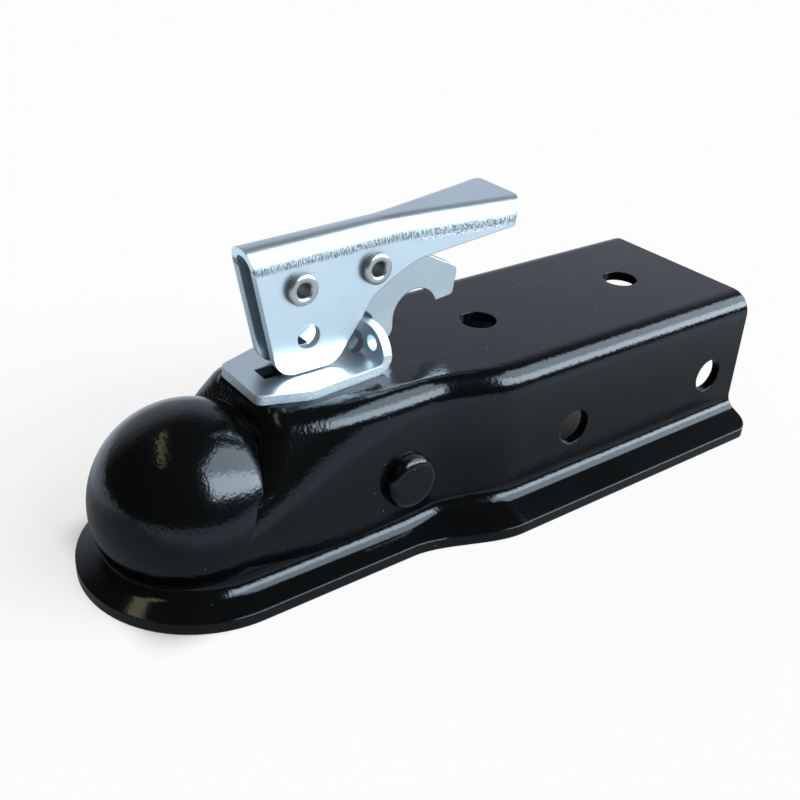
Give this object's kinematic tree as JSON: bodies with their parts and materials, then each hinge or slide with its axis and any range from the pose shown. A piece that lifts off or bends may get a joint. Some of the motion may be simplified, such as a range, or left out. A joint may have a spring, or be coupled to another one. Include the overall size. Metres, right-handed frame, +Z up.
{
  "type": "trailer coupler",
  "caption": "Pressed steel trailer coupling head with a domed ball socket, channel for the tongue and a lever latch with finger trigger that frees the ball clamp.",
  "frame": {"origin": "centre of the tow ball in the socket", "axes": "+X forward to the towing vehicle, +Y to the left, +Z up"},
  "size_m": [0.237, 0.0932, 0.0968],
  "materials": {
    "black_powder_coat": "semi-gloss black powder coat",
    "zinc_plate": "bright zinc plating with a bluish tint",
    "forged_steel": "dark forged steel, oiled",
    "spring_steel": "plain bright steel"
  },
  "bodies": {
    "shell": {"housing": "black_powder_coat", "latch_plate": "zinc_plate", "cross_pin": "black_powder_coat", "pin_spacers": "spring_steel"},
    "strap": {"clamp_strap": "zinc_plate"},
    "lever": {"handle": "zinc_plate", "handle_rivet": "zinc_plate", "trigger_rivet": "zinc_plate", "trigger_spring": "spring_steel"},
    "catch": {"trigger": "zinc_plate"},
    "clamp": {"ball_clamp": "forged_steel", "clamp_pin": "spring_steel"}
  },
  "joints": [
    {"name": "strap_drop", "type": "slide", "parent": "shell", "child": "strap", "axis": [0, 0, -1], "range_m": [0, 0.0042]},
    {"name": "handle_lift", "type": "hinge", "parent": "strap", "child": "lever", "pos_m": [-0.0334, 0, 0.0609], "axis": [0, 1, 0], "range_deg": [0, 78]},
    {"name": "trigger_squeeze", "type": "hinge", "parent": "lever", "child": "catch", "pos_m": [-0.0584, 0, 0.06188], "axis": [0, 1, 0], "range_deg": [0, 15], "stiffness_Nm_per_rad": 0.2},
    {"name": "clamp_drop", "type": "hinge", "parent": "shell", "child": "clamp", "pos_m": [-0.0569, 0, 0.0022], "axis": [0, 1, 0], "range_deg": [0, 10]}
  ],
  "couplings": [
    {"joint": "strap_drop", "follows": "handle_lift", "m_per_rad": 0.0030852},
    {"joint": "clamp_drop", "follows": "handle_lift", "ratio": 0.12821}
  ]
}
